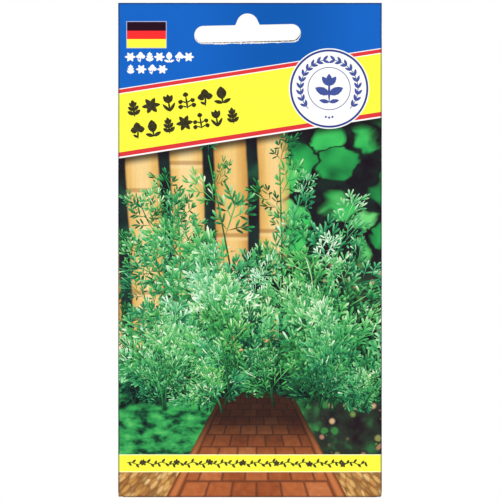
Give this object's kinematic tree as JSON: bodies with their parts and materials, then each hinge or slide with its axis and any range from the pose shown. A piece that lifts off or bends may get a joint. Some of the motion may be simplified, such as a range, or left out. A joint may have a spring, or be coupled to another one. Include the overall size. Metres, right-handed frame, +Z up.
{
  "type": "seed packet",
  "caption": "Flat paper seed packet with folded sides, glued header and foot, a lapped back seam, a punched hang slot and a pinch of loose seed inside.",
  "frame": {"origin": "top of the hang slot's middle bump, where a display hook bears, half way between the packet's front and back layers", "axes": "+Z up the packet, towards its header; +X to the right as seen from the front; the printed front faces -Y"},
  "size_m": [0.0799, 0.0026, 0.15],
  "materials": {
    "printed_paper": "satin",
    "glue": "satin",
    "seed": "matte"
  },
  "bodies": {
    "root": {"paper_sleeve": "printed_paper", "back_seam_glue": "glue", "back_seam_glue_top": "glue", "top_seal_glue": "glue", "bottom_seal_glue": "glue", "seeds": "seed"}
  },
  "joints": []
}
